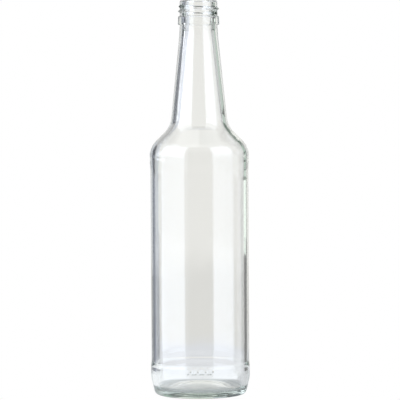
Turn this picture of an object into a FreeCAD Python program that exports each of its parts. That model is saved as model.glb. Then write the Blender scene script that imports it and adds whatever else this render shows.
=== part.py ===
"""Half-litre spirit bottle of clear glass, empty and uncapped: one moulded piece, in millimetres.

The wall's section is drawn once, from the push-up under the floor, round the heel, up the body,
shoulder, neck and finish, over the lip and down the inside to the floor, and is turned about Z.
The knurls of the foot ring are then cut into the bearing face.
Origin: the middle of the bearing face. +Z runs up through the mouth.
"""

import FreeCAD, Part
import math
import os

# Overall
overall_height = 266.0
body_diameter = 66.8  # at the two contact rings, over the heel and at the shoulder

# Finish: the ring of glass that takes a 28 mm roll-on cap
finish_height = 16.7  # from the bead's underside to the sealing face
bead_diameter = 27.6
bead_height = 5.9
bead_taper = 2.4  # degrees from upright, drawing in towards the top
bead_edge_radius = 0.65
bead_root_radius = 0.3  # where the bead meets the thread's root and the neck
thread_root_diameter = 25.0
lip_radius = 1.5
bore_diameter = 18.6
mouth_radius = 1.2  # of the lip's inner edge
bore_length = 20.5

# Neck and shoulder
neck_top_diameter = 25.0
collar_length = 8.5  # the steeper stretch right under the bead
collar_taper = 3.2
neck_length = 68.0  # from the bead's underside to the foot of the neck's cone
neck_taper = 5.95
shoulder_slope = 45.0
collar_radius = 60.0
neck_foot_radius = 15.0
shoulder_radius = 15.5

# Body
label_recess = 0.45
label_bottom = 22.0  # height of the recess's lower step
label_top_drop = 14.6  # from the shoulder's corner down to the recess's upper step
step_length = 1.6
step_radius = 2.5

# Heel and foot
heel_height = 11.5
heel_inset = 2.9  # how far the foot's corner lies inside the body's outline
heel_radius = 26.0
foot_radius = 3.4
bearing_width = 2.4
push_up_height = 5.2  # the hollow under the floor
push_up_edge_radius = 2.2

# Wall
body_wall = 2.75
neck_wall = 2.9
floor_thickness = 4.6
corner_thickness = 4.4  # of the floor at its lowest ring, above the bearing face
inner_heel_radius = 9.0
bore_foot_radius = 20.0

# Knurls: shallow radial grooves across the bearing face
knurl_count = 96
knurl_depth = 0.3
knurl_radius = 0.6
knurl_overrun = 0.6  # past each edge of the bearing face

ORIGIN = FreeCAD.Vector(0, 0, 0)
UP = FreeCAD.Vector(0, 0, 1)
OUTWARD = FreeCAD.Vector(1, 0, 0)
SPARE_RUN = 0.02  # share of a straight run that its two roundings leave


def in_section(radius, height):
    """A point of the section, which lies in the XZ plane."""
    return FreeCAD.Vector(radius, 0, height)


def sideways(taper, rise):
    """How far a wall that leans by this many degrees moves sideways over this rise."""
    return rise * math.tan(math.radians(taper))


def rounding(corner, before, after, radius):
    """Half the angle that a corner keeps open, and how far its arc starts from it."""
    half_angle = (before - corner).getAngle(after - corner) / 2
    return half_angle, radius / math.tan(half_angle)


def rounded_run(start, corners, end):
    """Straight runs from start to end by way of corners, each a point and its radius, with
    tangent arcs. Where a run is too short for its two arcs, both are drawn in alike."""
    points = [start] + [point for point, radius in corners] + [end]
    lengths = [(b - a).Length for a, b in zip(points, points[1:])]
    turns = [
        rounding(point, before, after, radius)
        for (point, radius), before, after in zip(corners, points, points[2:])
    ]
    reaches = [0] + [reach for half_angle, reach in turns] + [0]
    fits = [
        min(1, length * (1 - SPARE_RUN) / (a + b))
        for length, a, b in zip(lengths, reaches, reaches[1:])
    ]
    edges = []
    here = start
    for index, (corner, radius) in enumerate(corners):
        half_angle, reach = turns[index]
        fit = min(fits[index], fits[index + 1])
        back = (points[index] - corner).normalize()
        onward = (points[index + 2] - corner).normalize()
        to_middle = fit * radius * (1 / math.sin(half_angle) - 1)
        arc_start = corner + back * fit * reach
        arc_middle = corner + (back + onward).normalize() * to_middle
        arc_end = corner + onward * fit * reach
        edges.append(Part.LineSegment(here, arc_start).toShape())
        edges.append(Part.Arc(arc_start, arc_middle, arc_end).toShape())
        here = arc_end
    edges.append(Part.LineSegment(here, end).toShape())
    return edges


def domed_floor(apex_height, ring_radius, ring_height, edge_radius, edge_end):
    """A dome from the axis down to a round edge, whose arc is centred on the given ring and
    meets the dome in a tangent. The arc stops at edge_end."""
    drop = ring_height - apex_height
    dome_radius = (ring_radius**2 + drop**2 - edge_radius**2) / (2 * (edge_radius - drop))
    dome_centre = in_section(0, apex_height - dome_radius)
    edge_centre = in_section(ring_radius, ring_height)
    reach = (edge_centre - dome_centre).normalize()
    touch = dome_centre + reach * dome_radius
    half_lean = UP.getAngle(reach) / 2
    dome_middle = dome_centre + in_section(math.sin(half_lean), math.cos(half_lean)) * dome_radius
    to_middle = ((touch - edge_centre) + (edge_end - edge_centre)).normalize() * edge_radius
    dome = Part.Arc(in_section(0, apex_height), dome_middle, touch)
    edge = Part.Arc(touch, edge_centre + to_middle, edge_end)
    return [dome.toShape(), edge.toShape()]


# Places that the outside and the inside share
body_radius = body_diameter / 2
panel_radius = body_radius - label_recess
bead_bottom = overall_height - finish_height
neck_foot = bead_bottom - neck_length
collar_foot_width = neck_top_diameter / 2 + sideways(collar_taper, collar_length)
neck_foot_width = collar_foot_width + sideways(neck_taper, neck_length - collar_length)
shoulder_tangent = math.tan(math.radians(shoulder_slope))
shoulder_corner = neck_foot - (body_radius - neck_foot_width) / shoulder_tangent

# Edges of the bearing face: the foot's arc ends at the outer one, the push-up's at the inner one
foot_corner = body_radius - heel_inset
foot_half_angle = (math.pi / 2 + math.atan2(heel_inset, heel_height)) / 2
bearing_outer = foot_corner - foot_radius / math.tan(foot_half_angle)
bearing_inner = bearing_outer - bearing_width


def outer_corners():
    """Corners of the outside from the foot to the lip, each with its radius."""
    bead_radius = bead_diameter / 2
    bead_top = bead_bottom + bead_height
    bead_top_radius = bead_radius - sideways(bead_taper, bead_height)
    root_radius = thread_root_diameter / 2
    label_top = shoulder_corner - label_top_drop
    return [
        (in_section(foot_corner, 0), foot_radius),
        (in_section(body_radius, heel_height), heel_radius),
        (in_section(body_radius, label_bottom - step_length), step_radius),
        (in_section(panel_radius, label_bottom), step_radius),
        (in_section(panel_radius, label_top), step_radius),
        (in_section(body_radius, label_top + step_length), step_radius),
        (in_section(body_radius, shoulder_corner), shoulder_radius),
        (in_section(neck_foot_width, neck_foot), neck_foot_radius),
        (in_section(collar_foot_width, bead_bottom - collar_length), collar_radius),
        (in_section(neck_top_diameter / 2, bead_bottom), bead_root_radius),
        (in_section(bead_radius, bead_bottom), bead_edge_radius),
        (in_section(bead_top_radius, bead_top), bead_edge_radius),
        (in_section(root_radius, bead_top), bead_root_radius),
        (in_section(root_radius, overall_height), lip_radius),
    ]


def inner_corners(inner_body):
    """Corners of the inside from the mouth to the shoulder, each with its radius. The shoulder's
    slope keeps the body's wall, and the neck's foot has the neck's wall."""
    bore_radius = bore_diameter / 2
    neck_inner = neck_foot_width - neck_wall
    wall_drop = body_wall / math.sin(math.radians(shoulder_slope))
    shoulder_inner = shoulder_corner + (body_radius - inner_body) / shoulder_tangent - wall_drop
    neck_foot_inner = shoulder_inner + (inner_body - neck_inner) / shoulder_tangent
    return [
        (in_section(bore_radius, overall_height), mouth_radius),
        (in_section(bore_radius, overall_height - bore_length), bore_foot_radius),
        (in_section(neck_inner, neck_foot_inner), neck_foot_radius + neck_wall),
        (in_section(inner_body, shoulder_inner), shoulder_radius - body_wall),
    ]


def wall_section():
    """The closed outline of the wall on one side of the axis."""
    foot_start = in_section(bearing_inner, 0)
    push_up = domed_floor(
        push_up_height, bearing_inner, push_up_edge_radius, push_up_edge_radius, foot_start
    )
    inner_body = panel_radius - body_wall
    ring_radius = inner_body - inner_heel_radius
    ring_height = corner_thickness + inner_heel_radius
    wall_foot = in_section(inner_body, ring_height)
    floor_top = push_up_height + floor_thickness
    floor = domed_floor(floor_top, ring_radius, ring_height, inner_heel_radius, wall_foot)
    wall = rounded_run(foot_start, outer_corners() + inner_corners(inner_body), wall_foot)
    axis_run = Part.LineSegment(in_section(0, floor_top), in_section(0, push_up_height))
    return Part.Wire(push_up + wall + floor[::-1] + [axis_run.toShape()])


def knurl_grooves():
    """The round-bottomed grooves that leave the foot ring's knurls standing, one of them at +X."""
    length = bearing_width + 2 * knurl_overrun
    start = in_section(bearing_inner - knurl_overrun, knurl_depth - knurl_radius)
    groove = Part.makeCylinder(knurl_radius, length, start, OUTWARD)
    pitch = 360 / knurl_count
    return [groove.rotated(ORIGIN, UP, (index + 0.5) * pitch) for index in range(knurl_count)]


def bottle():
    """The whole bottle: its wall turned about the axis, with the foot ring knurled."""
    return Part.Face(wall_section()).revolve(ORIGIN, UP, 360).cut(knurl_grooves())


os.makedirs("parts", exist_ok=True)
bottle().exportStep("parts/bottle.step")
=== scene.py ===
"""Looks of a half-litre spirit bottle of clear glass, empty and uncapped.

The bottle is one closed skin of glass: its wall's section, turned about Z. The thread and the
mould seams stand out of it, the foot's knurls and the heel's plain row of marks are let into it,
and the inside has the slow waves that the blow leaves. Sizes are millimetres, and the mesh is
made in metres.
"""

import math

import bpy
import numpy as np
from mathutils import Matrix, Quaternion, Vector, noise


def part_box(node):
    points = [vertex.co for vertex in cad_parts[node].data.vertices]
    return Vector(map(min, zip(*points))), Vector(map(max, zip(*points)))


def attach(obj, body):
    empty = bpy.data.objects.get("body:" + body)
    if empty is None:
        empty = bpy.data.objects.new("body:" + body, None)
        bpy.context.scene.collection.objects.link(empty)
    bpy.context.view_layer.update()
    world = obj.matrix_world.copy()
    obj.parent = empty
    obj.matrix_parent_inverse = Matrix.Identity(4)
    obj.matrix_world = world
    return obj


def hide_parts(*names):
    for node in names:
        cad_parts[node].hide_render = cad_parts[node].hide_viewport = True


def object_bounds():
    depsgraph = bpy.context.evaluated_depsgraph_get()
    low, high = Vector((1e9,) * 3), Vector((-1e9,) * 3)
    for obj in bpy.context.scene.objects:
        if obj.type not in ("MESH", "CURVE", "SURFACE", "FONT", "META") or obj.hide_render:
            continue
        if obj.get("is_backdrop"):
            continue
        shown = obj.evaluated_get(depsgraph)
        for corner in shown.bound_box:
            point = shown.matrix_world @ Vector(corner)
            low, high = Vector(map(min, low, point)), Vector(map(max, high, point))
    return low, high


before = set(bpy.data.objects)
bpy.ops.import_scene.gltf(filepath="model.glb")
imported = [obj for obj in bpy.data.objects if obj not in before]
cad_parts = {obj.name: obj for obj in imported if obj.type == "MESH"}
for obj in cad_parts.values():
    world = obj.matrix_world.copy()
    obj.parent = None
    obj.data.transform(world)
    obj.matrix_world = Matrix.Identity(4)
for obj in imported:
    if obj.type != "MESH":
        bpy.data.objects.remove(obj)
cad_low, cad_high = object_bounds()

MM = 0.001
low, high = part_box("bottle")

# Overall sizes, from the frame
overall_height = (high.z - low.z) / MM
body_diameter = (high.x - low.x) / MM

# Finish: the ring of glass that takes a 28 mm roll-on cap
finish_height = 16.7  # from the bead's underside to the sealing face
bead_diameter = 27.6
bead_height = 5.9
bead_taper = 2.4  # degrees from upright, drawing in towards the top
bead_edge_radius = 0.65
bead_root_radius = 0.3  # where the bead meets the thread's root and the neck
thread_root_diameter = 25.0
lip_radius = 1.5
bore_diameter = 18.6
mouth_radius = 1.2  # of the lip's inner edge
bore_length = 20.5

# Thread: one rounded ridge that winds up to the right, seen from outside
thread_pitch = 3.18
thread_depth = 1.15
thread_width = 2.3
thread_turns = 1.6
thread_fade = 0.12  # of a turn, where each end sinks into the root
thread_start_angle = -10.0  # degrees from +X
thread_start_height = 256.8
thread_clearance = 0.2  # from the bead's top, where the ridge may begin
thread_lip_share = 0.4  # of the lip's radius that the ridge stays below

# Neck and shoulder
neck_top_diameter = 25.0
collar_length = 8.5  # the steeper stretch right under the bead
collar_taper = 3.2
neck_length = 68.0  # from the bead's underside to the foot of the neck's cone
neck_taper = 5.95
shoulder_slope = 45.0
collar_radius = 60.0
neck_foot_radius = 15.0
shoulder_radius = 15.5

# Body, whose label recess has a short step below and a longer, softer one above
label_recess = 0.45
label_bottom = 22.0  # height of the recess's lower step
label_top_drop = 14.6  # from the shoulder's corner down to the recess's upper step
step_length = 2.4
step_radius = 9.0
top_step_length = 5.5
top_step_radius = 24.0

# Heel and foot
heel_height = 11.5
heel_inset = 2.9  # how far the foot's corner lies inside the body's outline
heel_radius = 26.0
foot_radius = 3.4
bearing_width = 2.4
push_up_height = 5.2  # the hollow under the floor
push_up_edge_radius = 2.2

# Wall
body_wall = 2.75
neck_wall = 2.9
floor_thickness = 2.5
corner_thickness = 4.4  # of the floor at its lowest ring, above the bearing face
inner_heel_lean = 12.0  # degrees that the inside draws in with the heel
inner_heel_top = 13.0  # height where it starts to
inner_heel_radius = 20.0
floor_edge_radius = 3.4
bore_foot_radius = 20.0

# Knurls of the foot ring: shallow radial grooves across the bearing face
knurl_count = 96
knurl_depth = 0.4
knurl_radius = 0.6
knurl_overrun = 0.6  # past each edge of the bearing face

# Mould marks: seams where the two halves meet, and a plain row of dots and bars on the heel
seam_height = 0.08
seam_width = 0.9
seam_margin = 0.5  # inside the thread's root, so that the seams reach up to the lip
mark_depth = 0.6
mark_height = 18.9  # of the row's middle
mark_radius = 0.7
mark_flank = 0.6  # width of the slope round each mark
mark_length = 4.6  # of the upright bars
mark_spacing = 1.7
mark_count = 11
marks_in_group = 3  # a bar, a dot and a bar, over and over

# Slow waves of the inside, which the blow leaves
wave_length = 26.0
wave_depth = 0.04
small_wave_scale = 2.3  # small waves to each slow one
small_wave_share = 0.4  # of the slow waves' depth

# Mesh: columns round the bottle, and the longest step along the section in each zone
fine_columns = 768
column_share = 3  # the plain zones keep every third column
seam_columns = 4  # fine columns kept to each side of a seam
foot_zone_share = 0.6  # of the foot's radius, up to which the foot keeps all its columns
foot_zone_inside = 2.5  # of the bearing face
foot_zone_outside = 3.5
arc_turn = math.radians(9)
plain_step = 9.0
neck_step = 4.5
turn_step = 2.25  # up to the turns of the heel and the shoulder
bead_step = 2.0
mouth_step = 1.0
wave_step = 3.2
wave_turn_step = 1.6
thread_step = 0.28
foot_step = 0.32
mark_step = 0.36
floor_step = 3.0
floor_edge_step = 0.6


def at(radius, height):
    """A point of the section: its distance from the axis and its height."""
    return Vector((radius, height))


def sideways(taper, rise):
    """How far a wall that leans by this many degrees moves sideways over this rise."""
    return rise * math.tan(math.radians(taper))


def straight(start, end, step):
    """Points after start, up to end, no further apart than the step."""
    count = max(1, math.ceil((end - start).length / step))
    return [start.lerp(end, index / count) for index in range(1, count + 1)]


def arc(centre, start, end, step):
    """Points after start, up to end, round the shorter arc about the centre."""
    spoke = start - centre
    turn = spoke.angle_signed(end - centre)
    length = abs(turn) * spoke.length
    count = max(2, math.ceil(abs(turn) / arc_turn), math.ceil(length / step))
    turns = [turn * index / count for index in range(1, count + 1)]
    return [
        centre + at(
            spoke.x * math.cos(t) + spoke.y * math.sin(t),
            spoke.y * math.cos(t) - spoke.x * math.sin(t),
        )
        for t in turns
    ]


def rounded_run(start, corners, end, end_step):
    """Points after start, up to end, by way of corners: each a point, the radius of its rounding
    and the longest step on the way to it."""
    run = [start]
    places = [start] + [corner[0] for corner in corners] + [end]
    for (corner, radius, step), before, after in zip(corners, places, places[2:]):
        back = (before - corner).normalized()
        onward = (after - corner).normalized()
        half_angle = back.angle(onward) / 2
        centre = corner + (back + onward).normalized() * radius / math.sin(half_angle)
        arc_start = corner + back * radius / math.tan(half_angle)
        arc_end = corner + onward * radius / math.tan(half_angle)
        run += straight(run[-1], arc_start, step)
        run += arc(centre, arc_start, arc_end, step)
    run += straight(run[-1], end, end_step)
    return run[1:]


def domed_floor(apex_height, ring_radius, ring_height, edge_radius, edge_end, edge_step):
    """Points of a dome from the axis to a round edge, whose arc is centred on the given ring,
    meets the dome in a tangent and stops at edge_end."""
    drop = ring_height - apex_height
    dome_radius = (ring_radius**2 + drop**2 - edge_radius**2) / (2 * (edge_radius - drop))
    apex = at(0, apex_height)
    dome_centre = at(0, apex_height - dome_radius)
    edge_centre = at(ring_radius, ring_height)
    touch = dome_centre + (edge_centre - dome_centre).normalized() * dome_radius
    dome = arc(dome_centre, apex, touch, floor_step)
    return [apex] + dome + arc(edge_centre, touch, edge_end, edge_step)


# Places that the outside and the inside share
body_radius = body_diameter / 2
panel_radius = body_radius - label_recess
bead_bottom = overall_height - finish_height
bead_top = bead_bottom + bead_height
neck_foot = bead_bottom - neck_length
collar_foot_width = neck_top_diameter / 2 + sideways(collar_taper, collar_length)
neck_foot_width = collar_foot_width + sideways(neck_taper, neck_length - collar_length)
shoulder_tangent = math.tan(math.radians(shoulder_slope))
shoulder_corner = neck_foot - (body_radius - neck_foot_width) / shoulder_tangent
foot_corner = body_radius - heel_inset
foot_half_angle = (math.pi / 2 + math.atan2(heel_inset, heel_height)) / 2
bearing_outer = foot_corner - foot_radius / math.tan(foot_half_angle)
bearing_inner = bearing_outer - bearing_width
inner_body = panel_radius - body_wall


def outer_corners():
    """Corners of the outside from the foot to the lip."""
    bead_radius = bead_diameter / 2
    bead_top_radius = bead_radius - sideways(bead_taper, bead_height)
    root_radius = thread_root_diameter / 2
    label_top = shoulder_corner - label_top_drop
    return [
        (at(foot_corner, 0), foot_radius, foot_step),
        (at(body_radius, heel_height), heel_radius, turn_step),
        (at(body_radius, label_bottom - step_length), step_radius, mark_step),
        (at(panel_radius, label_bottom), step_radius, plain_step),
        (at(panel_radius, label_top), top_step_radius, plain_step),
        (at(body_radius, label_top + top_step_length), top_step_radius, plain_step),
        (at(body_radius, shoulder_corner), shoulder_radius, turn_step),
        (at(neck_foot_width, neck_foot), neck_foot_radius, neck_step),
        (at(collar_foot_width, bead_bottom - collar_length), collar_radius, plain_step),
        (at(neck_top_diameter / 2, bead_bottom), bead_root_radius, neck_step),
        (at(bead_radius, bead_bottom), bead_edge_radius, plain_step),
        (at(bead_top_radius, bead_top), bead_edge_radius, bead_step),
        (at(root_radius, bead_top), bead_root_radius, thread_step),
        (at(root_radius, overall_height), lip_radius, thread_step),
    ]


def inner_corners():
    """Corners of the inside from the mouth to the heel. The shoulder's slope keeps the body's
    wall, and the neck's foot has the neck's wall."""
    bore_radius = bore_diameter / 2
    neck_inner = neck_foot_width - neck_wall
    wall_drop = body_wall / math.sin(math.radians(shoulder_slope))
    shoulder_inner = shoulder_corner + (body_radius - inner_body) / shoulder_tangent - wall_drop
    neck_foot_inner = shoulder_inner + (inner_body - neck_inner) / shoulder_tangent
    return [
        (at(bore_radius, overall_height), mouth_radius, mouth_step),
        (at(bore_radius, overall_height - bore_length), bore_foot_radius, wave_step),
        (at(neck_inner, neck_foot_inner), neck_foot_radius + neck_wall, wave_step),
        (at(inner_body, shoulder_inner), shoulder_radius - body_wall, wave_turn_step),
        (at(inner_body, inner_heel_top), inner_heel_radius, wave_step),
    ]


def section():
    """The whole section, from the axis under the floor, round the wall and over the lip, to the
    axis on the floor."""
    foot_start = at(bearing_inner, 0)
    under = domed_floor(
        push_up_height, bearing_inner, push_up_edge_radius, push_up_edge_radius, foot_start,
        foot_step,
    )
    lean = math.radians(inner_heel_lean)
    towards_wall = at(math.cos(lean), -math.sin(lean)) * floor_edge_radius
    ring_height = corner_thickness + floor_edge_radius
    foot_height = ring_height + towards_wall.y
    drawn_in = sideways(inner_heel_lean, inner_heel_top - foot_height)
    wall_foot = at(inner_body - drawn_in, foot_height)
    floor = domed_floor(
        push_up_height + floor_thickness, wall_foot.x - towards_wall.x, ring_height,
        floor_edge_radius, wall_foot, floor_edge_step,
    )
    corners = outer_corners() + inner_corners()
    wall = rounded_run(foot_start, corners, wall_foot, wave_turn_step)
    points = under + wall[:-1] + floor[::-1]
    return np.array([tuple(point) for point in points])


def smooth_bump(distance, reach):
    """1 at no distance, falling in a smooth curve to 0 at the reach."""
    share = np.clip(np.abs(distance) / reach, 0, 1)
    return (1 - share**2) ** 2


def thread_relief(angle, height):
    """How far the thread stands out of its root."""
    relief = np.zeros(np.broadcast(angle, height).shape)
    first = math.radians(thread_start_angle)
    for turn in range(-1, math.ceil(thread_turns) + 1):
        along = (angle - first) / math.tau + turn
        ridge = thread_start_height + along * thread_pitch
        ends = np.clip(np.minimum(along, thread_turns - along) / thread_fade, 0, 1)
        depth = thread_depth * ends * ends * (3 - 2 * ends)
        relief = np.maximum(relief, depth * smooth_bump(height - ridge, thread_width / 2))
    return relief


def seam_relief(angle):
    """The two mould seams, at -X and +X."""
    off_seam = np.minimum(np.abs(angle), np.abs(np.abs(angle) - math.pi))
    return seam_height * smooth_bump(off_seam * body_radius, seam_width / 2)


def mark_relief(angle, height):
    """A plain row of upright bars and dots on the front of the heel. They are let in, so that
    the heel's contact ring stays the widest place."""
    around = (angle + math.pi / 2) * body_radius
    relief = np.zeros(np.broadcast(angle, height).shape)
    for index in range(mark_count):
        place = (index - (mark_count - 1) / 2) * mark_spacing
        is_dot = index % marks_in_group == 1
        half_length = 0 if is_dot else mark_length / 2 - mark_radius
        along = np.maximum(np.abs(height - mark_height) - half_length, 0)
        rise = np.clip((mark_radius - np.hypot(around - place, along)) / mark_flank, 0, 1)
        relief = np.minimum(relief, -mark_depth * rise * rise * (3 - 2 * rise))
    return relief


def knurled(angle, radius, height):
    """Heights of the foot ring with its round-bottomed radial grooves let in from below."""
    pitch = math.tau / knurl_count
    off_groove = ((angle / pitch) % 1 - 0.5) * pitch * radius
    depth = np.sqrt(np.maximum(knurl_radius**2 - off_groove**2, 0)) - knurl_radius + knurl_depth
    inside = radius - (bearing_inner - knurl_overrun)
    outside = (bearing_outer + knurl_overrun) - radius
    reached = (inside > 0) & (outside > 0) & (height < knurl_depth)
    return np.where(reached, np.maximum(height, depth), height)


def blown_wave(place):
    """How far the inner wall rises at a place, from -1 to 1 for the slow waves."""
    slow = noise.noise(place / wave_length)
    small = noise.noise(place * small_wave_scale / wave_length)
    return slow + small_wave_share * small


def round_the_bottle(column):
    """A value for each fine column, from one value for each point of the section."""
    return np.repeat(column, fine_columns, axis=1)


def turned_section(points, outside, angle):
    """Radius and height of each point of the section at each fine column, with all that stands
    out of the glass or is let into it."""
    radius = round_the_bottle(points[:, :1])
    height = round_the_bottle(points[:, 1:])
    thread_top = overall_height - lip_radius * thread_lip_share
    threaded = outside & (height > bead_top + thread_clearance) & (height < thread_top)
    seamed = outside & (radius > thread_root_diameter / 2 - seam_margin) & (height > foot_radius)
    marked = outside & (np.abs(height - mark_height) < mark_length)
    relief = np.where(threaded, thread_relief(angle, height), 0)
    relief = relief + np.where(seamed, seam_relief(angle), 0)
    relief = relief + np.where(marked, mark_relief(angle, height), 0)
    radius = np.minimum(radius + relief, np.maximum(radius, body_radius))
    height = np.where(outside, knurled(angle, radius, height), height)
    return radius, height


def ring_columns(points, is_inside):
    """Which of the fine columns each ring has: all of them at the foot, the front ones at the
    marks, the ones at the seams outside, and every third one elsewhere."""
    index = np.arange(fine_columns)
    angle = index * math.tau / fine_columns
    near_seam = np.abs(np.sin(angle)) < math.sin(seam_columns * math.tau / fine_columns)
    front = np.abs(angle - 1.5 * math.pi) < (mark_count + 1) / 2 * mark_spacing / body_radius
    plain = index % column_share == 0
    foot_top = foot_radius * foot_zone_share
    foot_inner = bearing_inner - foot_zone_inside
    foot_outer = bearing_outer + foot_zone_outside
    columns = []
    for (radius, height), inside in zip(points, is_inside):
        if inside:
            columns.append(plain)
        elif height < foot_top and foot_inner < radius < foot_outer:
            columns.append(np.ones(fine_columns, bool))
        elif radius > bearing_outer and height < label_bottom:
            columns.append(plain | near_seam | front)
        elif radius > bearing_outer or height > label_bottom:
            columns.append(plain | near_seam)
        else:
            columns.append(plain)
    return np.array(columns)


def strip(lower, upper, lower_used, upper_used):
    """Faces between two rings. Each ring is a list of vertex numbers by fine column."""
    shared = np.flatnonzero(lower_used & upper_used)
    faces = []
    for here, there in zip(shared, np.roll(shared, -1)):
        span = (there - here) % fine_columns
        between = [(here + step) % fine_columns for step in range(span + 1)]
        below = [lower[c] for c in between if lower_used[c]]
        above = [upper[c] for c in between if upper_used[c]]
        faces.append(below + above[::-1])
    return faces


def skin_faces(number, used, foot_pole, floor_pole):
    """Outward faces from the pole under the floor, ring by ring, to the pole on the floor."""
    faces = []
    for ring in range(1, len(number) - 2):
        faces += strip(number[ring], number[ring + 1], used[ring], used[ring + 1])
    first = number[1][used[1]]
    last = number[-2][used[-2]]
    faces += [[foot_pole, a, b] for b, a in zip(first, np.roll(first, -1))]
    faces += [[floor_pole, a, b] for a, b in zip(last, np.roll(last, -1))]
    return [[int(corner) for corner in face] for face in faces]


def bottle_mesh():
    """The bottle's closed skin."""
    points = section()
    is_inside = np.arange(len(points)) > np.argmax(points[:, 1])
    turn = np.arange(fine_columns) * math.tau / fine_columns
    angle = ((turn + math.pi) % math.tau - math.pi)[None, :]
    radius, height = turned_section(points, ~is_inside[:, None], angle)

    used = ring_columns(points, is_inside)
    used[0] = used[-1] = False  # the two ends lie on the axis, where each is one pole
    number = np.cumsum(used).reshape(used.shape) - 1
    x = (radius * np.cos(angle))[used]
    y = (radius * np.sin(angle))[used]
    vertices = np.column_stack([x, y, height[used]])

    tangent = np.gradient(points, axis=0)
    normal = np.column_stack([tangent[:, 1], -tangent[:, 0]])
    normal /= np.linalg.norm(normal, axis=1, keepdims=True)
    across = round_the_bottle(normal[:, :1])
    along = round_the_bottle(normal[:, 1:])
    outward = np.column_stack([
        (across * np.cos(angle))[used], (across * np.sin(angle))[used], along[used],
    ])
    waved = round_the_bottle(is_inside[:, None] & (points[:, 1:] < bead_bottom))[used]
    rises = np.array([blown_wave(Vector(vertex)) for vertex in vertices[waved]])
    vertices[waved] += outward[waved] * (wave_depth * rises)[:, None]

    faces = skin_faces(number, used, len(vertices), len(vertices) + 1)
    poles = [(0, 0, points[0, 1]), (0, 0, points[-1, 1])]
    vertices = np.vstack([vertices, poles]) * MM
    mesh = bpy.data.meshes.new("bottle_glass")
    mesh.from_pydata(vertices.tolist(), [], faces)
    mesh.validate()
    mesh.shade_smooth()
    return mesh


def linear(hex_colour):
    """A linear colour from an sRGB hex value."""
    channels = [int(hex_colour[place:place + 2], 16) / 255 for place in (1, 3, 5)]
    return tuple(
        value / 12.92 if value <= 0.04045 else ((value + 0.055) / 1.055) ** 2.4
        for value in channels
    ) + (1.0,)


def add(tree, kind, settings=(), **inputs):
    """Adds a node. Settings are its properties, and inputs its sockets by name or number: each
    a value, or the output socket that it is linked from."""
    node = tree.nodes.new("ShaderNode" + kind)
    for name, value in dict(settings).items():
        setattr(node, name, value)
    for name, value in inputs.items():
        socket = node.inputs[int(name[1:]) if name[1:].isdigit() else name.replace("_", " ")]
        if isinstance(value, bpy.types.NodeSocket):
            tree.links.new(value, socket)
        else:
            socket.default_value = value
    return node


# Glass
GLASS_IOR = 1.52
GLASS_TINT = "#b0d0bc"  # what a depth of glass leaves of white light
GLASS_TINT_DENSITY = 8.0  # per metre
RIPPLE_LENGTH = 9.0  # of the iron's marks on the outside
RIPPLE_DEPTH = 0.004


def flint_glass():
    """Soda-lime flint glass, blown in a two-part iron mould: clear and almost colourless, with
    a breath of green where it is thick. The iron leaves faint ripples on the outside, so
    reflections and what shows through waver a little."""
    material = bpy.data.materials.new("flint_glass")
    material.use_nodes = True
    tree = material.node_tree
    tree.nodes.clear()
    place = add(tree, "TexCoord").outputs["Object"]
    ripple = add(
        tree, "TexNoise", {"noise_dimensions": "3D"},
        Vector=place, Scale=1 / (RIPPLE_LENGTH * MM), Detail=1.5, Roughness=0.4,
    )
    bump = add(tree, "Bump", Height=ripple.outputs[0], Strength=1.0, Distance=RIPPLE_DEPTH * MM)
    glass = add(
        tree, "BsdfPrincipled",
        Base_Color=(1, 1, 1, 1), Roughness=0.0, IOR=GLASS_IOR, Transmission_Weight=1.0,
        Normal=bump.outputs[0],
    )
    tint = add(tree, "VolumeAbsorption", Color=linear(GLASS_TINT), Density=GLASS_TINT_DENSITY)
    add(tree, "OutputMaterial", Surface=glass.outputs[0], Volume=tint.outputs[0])
    return material


def make_bottle():
    """The bottle, in place of the frame's plain solid."""
    bottle = bpy.data.objects.new("bottle_glass", bottle_mesh())
    bpy.context.scene.collection.objects.link(bottle)
    bottle.data.materials.append(flint_glass())
    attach(bottle, "root")
    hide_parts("bottle")


# Studio: light panels and dark flags that stand far off all round, by direction from the bottle.
# Azimuth is 0 behind the bottle and 90 to its right. Each has its two sides, its lower and upper
# edge, how soft its sides and its edges are, all in degrees, its brightness and its colour. Each
# is laid over the ones before it.

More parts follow.
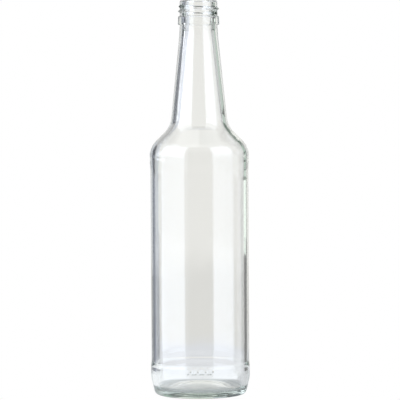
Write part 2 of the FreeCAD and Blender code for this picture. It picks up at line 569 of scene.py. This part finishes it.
# Behind the bottle: shown through the glass, and mirrored by it too
BEHIND = [
    ("left_gap", -71, -57, -12, -3, 4.0, 0.6, 0.08, "#e8f0ff"),
    ("left_strip_high", -76, -56, -2.6, 12, 6.0, 0.6, 2.2, "#f2f6ff"),
    ("left_strip_top", -76, -52, -1.15, 3, 4.0, 0.4, 0.50, "#e8fff0"),
    ("left_strip", -58, -34, -12, -3, 3.0, 1.0, 0.42, "#e8eeff"),
    ("left_flag", -34, -27, -12, -3, 2.0, 1.0, 0.12, "#e8f0ff"),
    ("left_flag_high", -53, -24, -3, 12, 3.0, 1.0, 0.10, "#e8f0ff"),
    ("left_fringe", -27, -12, -12, 12, 4.0, 2.0, 0.72, "#f4f8ff"),
    ("left_fringe_low", -27, -10, -12, -5.2, 3.0, 0.8, 0.38, "#f4f8ff"),
    ("backdrop", -12, 24, -12, 57, 2.0, 3.0, 0.96, "#fffefa"),
    ("backdrop_low", -12, 24, -8.5, -5.2, 2.0, 0.8, 0.85, "#fffefa"),
    ("backdrop_foot", -12, 24, -12, -6.7, 2.0, 0.8, 0.875, "#f9fbff"),
    ("right_fringe", 24, 31, -12, -3.3, 2.0, 0.3, 0.30, "#ffffff"),
    ("right_fringe_high", 22, 31, -3.3, 12, 2.0, 0.3, 0.48, "#ffffff"),
    ("right_strip", 31, 49, -4.8, -3.4, 2.0, 0.15, 1.15, "#f4fff6"),
    ("right_strip_high", 31, 49, -3.4, 12, 2.0, 0.15, 0.60, "#e8fff0"),
    ("right_strip_gap", 20, 50, -3.4, -3.0, 2.0, 0.15, 0.13, "#e8fff0"),
    ("right_strip_low", 31, 49, -12, -4.8, 2.0, 0.3, 0.20, "#ffffff"),
    ("right_flag", 49, 62, -12, 57, 2.0, 2.0, 0.10, "#ffffff"),
    ("right_flag_lifted", 45, 62, 1.0, 12, 2.0, 1.0, 0.60, "#ffffff"),
    ("right_near", 62, 76, -12, 57, 3.0, 2.0, 0.60, "#ffffff"),
    ("right_flag_high", 44, 74, -3.0, -1.25, 4.0, 0.4, 0.38, "#ffffff"),
    ("right_flag_top", 27, 74, -1.15, 0.8, 3.0, 0.4, 0.06, "#e8fff0"),
    ("right_flag_upper", 16, 60, 12, 32, 4.0, 2.0, 0.22, "#e8fff0"),
    ("left_flag_upper", -34, -13, 10, 32, 6.0, 3.0, 0.50, "#ffffff"),
    ("left_bead_fill", -53, -24, -1.1, -0.8, 3.0, 0.1, 0.42, "#f4fff8"),
]

# Mirrored by the glass's faces
MIRRORED = [
    ("under", -180, 180, -90, -12, 1.0, 3.0, 0.85, "#fbfdff"),
    ("under_front", 150, 212, -90, -12, 8.0, 3.0, 0.45, "#fbfdff"),
    ("under_left", -68, -26, -60, -12, 8.0, 3.0, 0.15, "#fbfdff"),
    ("under_back", 2, 40, -60, -12, 8.0, 3.0, 0.30, "#fbfdff"),
    ("left_softbox", -144, -78, -10, 57, 5.0, 3.0, 0.50, "#f0f5ff"),
    ("left_skirt", -78, -71, -12, 57, 4.0, 6.0, 0.8, "#e8f0ff"),
    ("left_softbox_high", -88, -73, -2.6, 12, 6.0, 0.6, 2.0, "#f2f6ff"),
    ("left_flag_side", -130, -62, -0.7, 3.4, 8.0, 0.5, 0.22, "#ffffff"),
    ("left_softbox_top", -144, -78, 5, 57, 5.0, 3.0, 1.8, "#f0f5ff"),
    *BEHIND,
    ("backdrop_high", -11, 20, 13, 50, 3.0, 3.0, 1.15, "#fffefa"),
    ("right_near_side", 74, 82, -12, 57, 3.0, 2.0, 0.60, "#ffffff"),
    ("right_gap", 82, 92, -12, 57, 2.0, 2.0, 0.10, "#ffffff"),
    ("right_softbox", 92, 149, -10, 57, 3.0, 3.0, 0.50, "#eef3ff"),
    ("right_softbox_top", 92, 149, 5, 57, 3.0, 3.0, 1.2, "#eef3ff"),
    ("right_flag_side", 70, 132, -1.15, 3, 4.0, 0.4, 0.08, "#e8fff0"),
    ("camera_side", 149, 216, -12, 57, 3.0, 6.0, 0.06, "#ffffff"),
    ("ceiling_left", -180, -30, 57, 90, 20.0, 8.0, 1.0, "#ffffff"),
    ("ceiling_right", -30, 180, 57, 90, 20.0, 8.0, 0.35, "#ffffff"),
]

# Laid over the mirrored panels for light that the bottle's far wall mirrors
FAR_SOFTBOXES = [
    ("left_softbox", -143.5, -80, -10, 57, 6.0, 3.0, 1.8, "#eaf1ff"),
    ("left_softbox_low", -143.5, -80, -40, -5.0, 6.0, 0.8, 3.1, "#eaf1ff"),
    ("right_softbox", 58, 139.5, -10, 57, 4.0, 3.0, 2.25, "#eaf1ff"),
    ("right_softbox_low", 56, 139.5, -40, -5.0, 5.0, 0.8, 3.4, "#eaf1ff"),
]
FAR_FACES = 2.5  # light that goes through more faces than this has come by way of the far wall

# Shown through the glass, from the front and from the other sides
SHOWN = [
    *BEHIND,
    ("left_rear_flag", -116, -107, -12, 57, 4.0, 3.0, 0.25, "#ffffff"),
    ("left_dim", -150, -116, -12, 57, 4.0, 3.0, 0.85, "#ffffff"),
    ("left_front_flag", -158, -150, -12, 57, 4.0, 3.0, 0.25, "#ffffff"),
    ("right_front_flag", 150, 158, -12, 57, 4.0, 3.0, 0.25, "#ffffff"),
    ("right_dim", 116, 150, -12, 57, 4.0, 3.0, 0.85, "#ffffff"),
    ("right_rear_flag", 107, 116, -12, 57, 4.0, 3.0, 0.25, "#ffffff"),
]
LOW_FLAG_COUNT = 8  # all round, below the level of the bottle
LOW_FLAG_FIRST = -157.5
LOW_FLAG_HALF_WIDTH = 4
for index in range(LOW_FLAG_COUNT):
    middle = LOW_FLAG_FIRST + index * 360 / LOW_FLAG_COUNT
    sides = (middle - LOW_FLAG_HALF_WIDTH, middle + LOW_FLAG_HALF_WIDTH)
    SHOWN.append(("low_flag", *sides, -60, -12, 5.0, 3.0, 0.25, "#f4f8ff"))

# Brightness of the room between the panels
MIRRORED_ROOM = 0.45
SHOWN_ROOM = 0.95

# Floor, as the glass shows it: painted shade makes it greyest under the bottle, and a painted
# shadow darkens it to the bottle's right
FLOOR_COLOUR = "#f7fafd"
# Painted shade: the grey that the floor glows with under the bottle
UNDER_SHADE_COLOUR = "#9aa2a4"
UNDER_EDGE = 0.8  # of the foot ring's inner radius, where the painted shade under the bottle starts to lighten
OPEN_EDGE = 1.6  # of the body's radius, where it is open floor
SHADOW_SHARE = 0.30  # of the floor's glow that the bottle's painted soft shadow takes
SHADOW_AZIMUTH = 72
SHADOW_WIDTH = 78
SHADOW_SOFTNESS = 24
FLOOR_RADIUS = 0.12  # metres
FLOOR_SIDES = 96


def azimuth_of(tree, x, y):
    """Degrees round from the back of the bottle, from the two level parts of a direction."""
    around = add(tree, "Math", {"operation": "ARCTAN2"}, _0=x, _1=y).outputs[0]
    return add(tree, "Math", {"operation": "DEGREES"}, _0=around).outputs[0]


def within(tree, coordinate, middle, width, soft, turns):
    """1 inside the width about the middle, and 0 outside it, with soft edges. A coordinate that
    turns comes round again at 180 degrees."""
    off = add(tree, "Math", {"operation": "SUBTRACT"}, _0=coordinate, _1=middle).outputs[0]
    if turns:
        off = add(tree, "Math", {"operation": "WRAP"}, _0=off, _1=180.0, _2=-180.0).outputs[0]
    off = add(tree, "Math", {"operation": "ABSOLUTE"}, _0=off).outputs[0]
    edge = add(
        tree, "MapRange", {"interpolation_type": "SMOOTHSTEP"},
        Value=off, From_Min=(width - soft) / 2, From_Max=(width + soft) / 2,
        To_Min=1.0, To_Max=0.0,
    )
    return edge.outputs[0]


def studio_world():
    """A white surround for the eye. What shows through the glass and what it mirrors are lit
    apart, as a studio's backdrop and its softboxes are."""
    world = bpy.data.worlds.new("studio")
    bpy.context.scene.world = world
    world.use_nodes = True
    tree = world.node_tree
    tree.nodes.clear()
    direction = add(tree, "SeparateXYZ", Vector=add(tree, "TexCoord").outputs["Generated"])
    x, y, z = direction.outputs
    azimuth = azimuth_of(tree, x, y)
    rise = add(tree, "Math", {"operation": "ARCSINE"}, _0=z).outputs[0]
    elevation = add(tree, "Math", {"operation": "DEGREES"}, _0=rise).outputs[0]

    def surround(light, panels):
        """The light of a room with its panels, each laid over the ones before it."""
        for name, left, right, bottom, top, side_soft, edge_soft, brightness, colour in panels:
            wide = within(tree, azimuth, (left + right) / 2, right - left, side_soft, True)
            tall = within(tree, elevation, (bottom + top) / 2, top - bottom, edge_soft, False)
            mask = add(tree, "Math", {"operation": "MULTIPLY"}, _0=wide, _1=tall).outputs[0]
            shade = tuple(channel * brightness for channel in linear(colour)[:3]) + (1.0,)
            mix = add(
                tree, "Mix", {"data_type": "RGBA", "label": name}, _0=mask, _6=light, _7=shade,
            )
            light = mix.outputs[2]
        return light

    path = add(tree, "LightPath")
    shown = surround((SHOWN_ROOM, SHOWN_ROOM, SHOWN_ROOM, 1), SHOWN)
    near = surround((MIRRORED_ROOM, MIRRORED_ROOM, MIRRORED_ROOM, 1), MIRRORED)
    far = surround(near, FAR_SOFTBOXES)
    from_far = add(
        tree, "Math", {"operation": "GREATER_THAN"},
        _0=path.outputs["Transmission Depth"], _1=FAR_FACES,
    ).outputs[0]
    mirrored = add(
        tree, "Mix", {"data_type": "RGBA"}, _0=from_far, _6=near, _7=far,
    ).outputs[2]
    in_glass = add(
        tree, "Mix", {"data_type": "RGBA"},
        _0=path.outputs["Glossy Depth"], _6=shown, _7=mirrored,
    ).outputs[2]
    colour = add(
        tree, "Mix", {"data_type": "RGBA"},
        _0=path.outputs["Is Camera Ray"], _6=in_glass, _7=(1, 1, 1, 1),
    ).outputs[2]
    background = add(tree, "Background", Color=colour, Strength=1.0)
    add(tree, "OutputWorld", Surface=background.outputs[0])


def white_floor():
    """White paper that glows evenly to the eye. To the glass it glows with painted shade, greyer
    under the bottle, and with a painted soft shadow to the bottle's right."""
    material = bpy.data.materials.new("white_floor")
    material.use_nodes = True
    tree = material.node_tree
    tree.nodes.clear()
    place = add(tree, "TexCoord").outputs["Object"]
    from_middle = add(tree, "VectorMath", {"operation": "LENGTH"}, _0=place).outputs["Value"]
    # Painted shade under the bottle: the floor's glow greys towards the under colour inside the
    # foot ring
    open_floor = add(
        tree, "MapRange", {"interpolation_type": "SMOOTHSTEP"},
        Value=from_middle,
        From_Min=bearing_inner * UNDER_EDGE * MM, From_Max=body_radius * OPEN_EDGE * MM,
    ).outputs[0]
    glow_with_under_shade = add(
        tree, "Mix", {"data_type": "RGBA"},
        _0=open_floor, _6=linear(UNDER_SHADE_COLOUR), _7=linear(FLOOR_COLOUR),
    ).outputs[2]
    # Painted shadow: a soft wedge of the floor to the bottle's right is darkened, standing in
    # for the bottle's cast shadow
    x, y, z = add(tree, "SeparateXYZ", Vector=place).outputs
    azimuth = azimuth_of(tree, x, y)
    in_shadow = within(tree, azimuth, SHADOW_AZIMUTH, SHADOW_WIDTH, SHADOW_SOFTNESS, True)
    shadow = add(
        tree, "Math", {"operation": "MULTIPLY"}, _0=in_shadow, _1=SHADOW_SHARE,
    ).outputs[0]
    shaded = add(
        tree, "Mix", {"data_type": "RGBA"}, _0=shadow, _6=glow_with_under_shade, _7=(0, 0, 0, 1),
    ).outputs[2]
    seen = add(tree, "LightPath").outputs["Is Camera Ray"]
    colour = add(
        tree, "Mix", {"data_type": "RGBA"}, _0=seen, _6=shaded, _7=(1, 1, 1, 1),
    ).outputs[2]
    emission = add(tree, "Emission", Color=colour, Strength=1.0)
    add(tree, "OutputMaterial", Surface=emission.outputs[0])
    return material


def studio_floor():
    """A round white floor, so nothing but white lies round the bottle."""
    bpy.ops.mesh.primitive_circle_add(
        vertices=FLOOR_SIDES, radius=FLOOR_RADIUS, fill_type="NGON",
    )
    floor = bpy.context.object
    floor.name = "studio_floor"
    floor.location.z = cad_low.z
    floor.data.materials.append(white_floor())
    floor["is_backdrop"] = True


# Camera: its place in metres from the middle of the bearing face, its lens in millimetres
CAMERA_DISTANCE = 2.170
CAMERA_HEIGHT = 0.285
CAMERA_ASIDE = 0.0003
CAMERA_LENS = 290.4
CAMERA_PITCH = -4.05  # degrees, down
CAMERA_ROLL = -0.315  # degrees: the bottle's top leans to the left
CAMERA_NEAREST = 0.05
CAMERA_FARTHEST = 20


def make_camera():
    """A long lens from the front, a little above the mouth and looking a little down."""
    data = bpy.data.cameras.new("camera")
    data.lens = CAMERA_LENS
    data.clip_start = CAMERA_NEAREST
    data.clip_end = CAMERA_FARTHEST
    camera = bpy.data.objects.new("camera", data)
    bpy.context.scene.collection.objects.link(camera)
    camera.location = (CAMERA_ASIDE, -CAMERA_DISTANCE, CAMERA_HEIGHT)
    camera.rotation_mode = "QUATERNION"
    pitch = Quaternion((1, 0, 0), math.radians(90 + CAMERA_PITCH))
    roll = Quaternion((0, 0, 1), math.radians(CAMERA_ROLL))
    camera.rotation_quaternion = pitch @ roll
    bpy.context.scene.camera = camera


LIGHT_BOUNCES = 32  # enough to come out of the thick foot

make_bottle()
studio_world()
studio_floor()
make_camera()
scene = bpy.context.scene
scene.view_settings.view_transform = "Standard"
scene.cycles.max_bounces = LIGHT_BOUNCES
scene.cycles.transmission_bounces = LIGHT_BOUNCES
scene.cycles.glossy_bounces = LIGHT_BOUNCES

low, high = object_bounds()
